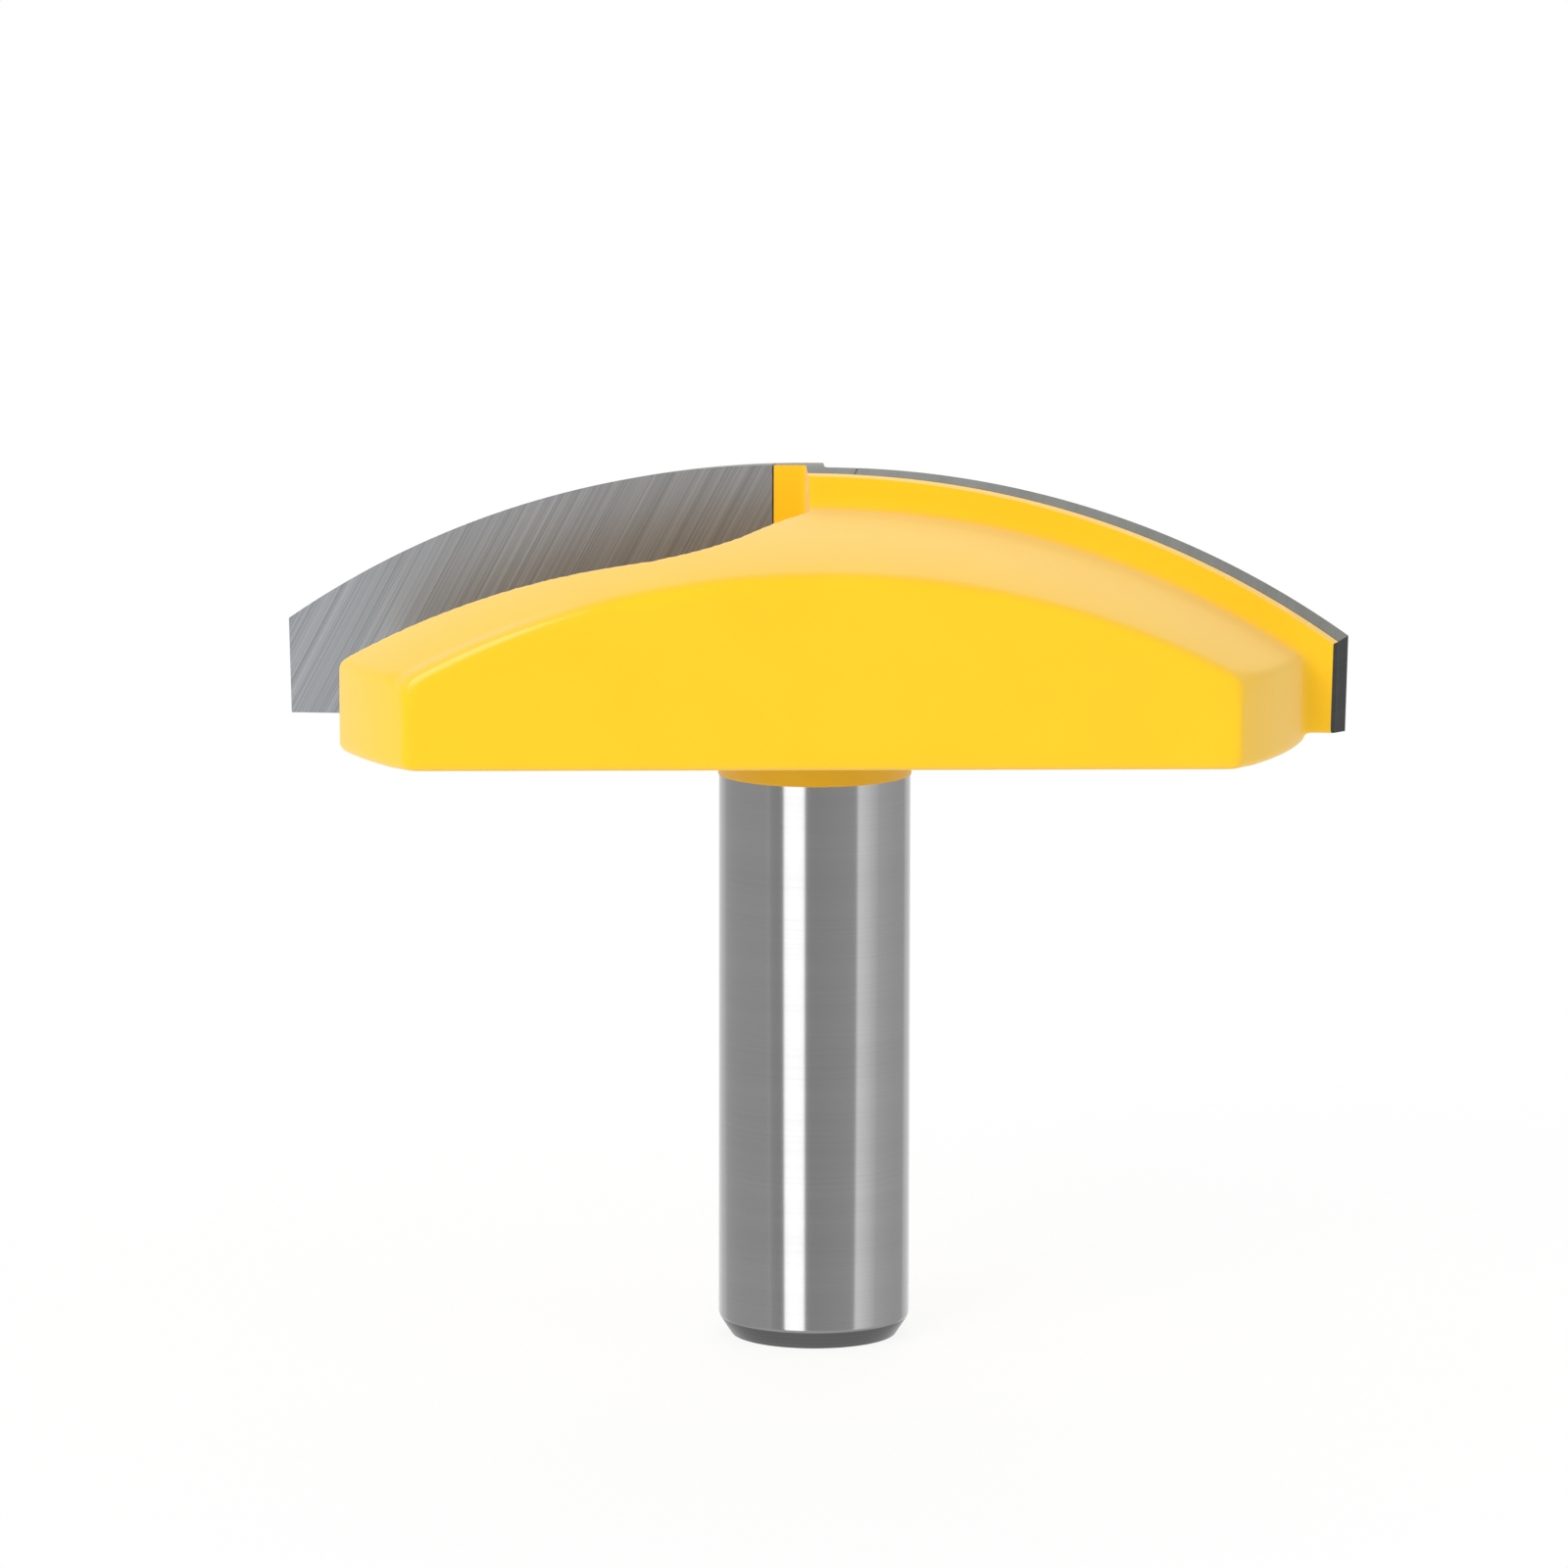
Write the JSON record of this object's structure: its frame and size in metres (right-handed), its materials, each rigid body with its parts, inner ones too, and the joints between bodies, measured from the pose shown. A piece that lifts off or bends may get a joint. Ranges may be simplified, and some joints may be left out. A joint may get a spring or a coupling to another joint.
{
  "type": "bowl router bit",
  "caption": "Wide shallow bowl router bit: domed head with milled flats and chip gullets, curved brazed carbide tips, and a plain straight shank.",
  "frame": {"origin": "centre of the shank's end face, which is also the lowest point, on the axis of rotation", "axes": "+Z along the axis from the shank to the cutting head; X across the cutting diameter, with the flats facing +Y and -Y. The rake face of the wing at -X looks to -Y, and half a turn about Z brings one wing onto the other"},
  "size_m": [0.0698, 0.037, 0.0582],
  "materials": {
    "painted_steel": "glossy yellow enamel on the head; the shank below the paint line is bare ground steel",
    "carbide": "ground tungsten carbide, dark grey with fine slanting grinding lines"
  },
  "bodies": {
    "root": {"body": "painted_steel", "carbide_tip_left": "carbide", "carbide_tip_right": "carbide"}
  },
  "joints": []
}
